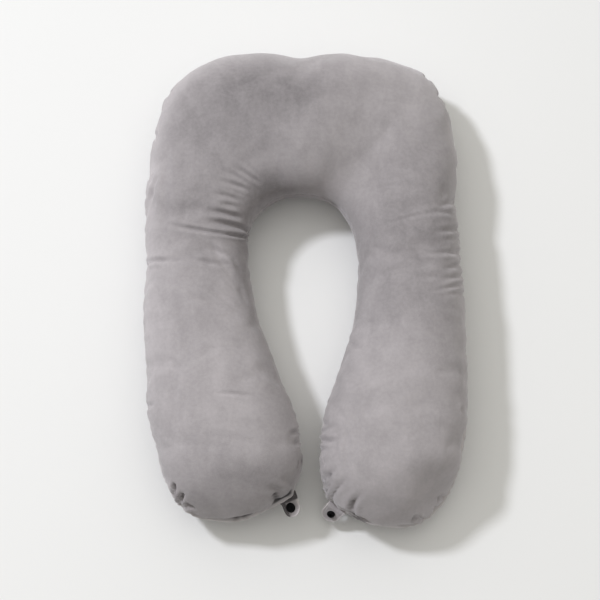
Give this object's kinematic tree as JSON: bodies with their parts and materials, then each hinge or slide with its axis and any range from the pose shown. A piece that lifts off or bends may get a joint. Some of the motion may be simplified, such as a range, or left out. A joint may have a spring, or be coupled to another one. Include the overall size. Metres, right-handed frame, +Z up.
{
  "type": "u-shaped body pillow",
  "caption": "Compact U-shaped body pillow of grey plush, a stuffed tube lying flat with its two arms side by side and a press-snap tab at the inner corner of each arm.",
  "frame": {"origin": "on the floor, under the middle of the pillow's outline", "axes": "+Y from the open ends of the arms towards the rounded head of the U, +X to the right arm seen from above with the ends towards the viewer, +Z up from the underside to the crown"},
  "size_m": [0.4277, 0.6394, 0.1371],
  "materials": {
    "pillow_plush": "short-pile velour, mottled nap",
    "tab_plush": "short-pile velour, folded double and edge-stitched",
    "snap_plastic": "moulded, smooth, slightly glossy"
  },
  "bodies": {
    "root": {"pillow": "pillow_plush", "tab_left": "tab_plush", "tab_right": "tab_plush", "cap_left": "snap_plastic", "stud_left": "snap_plastic", "cap_right": "snap_plastic", "socket_right": "snap_plastic"}
  },
  "joints": []
}
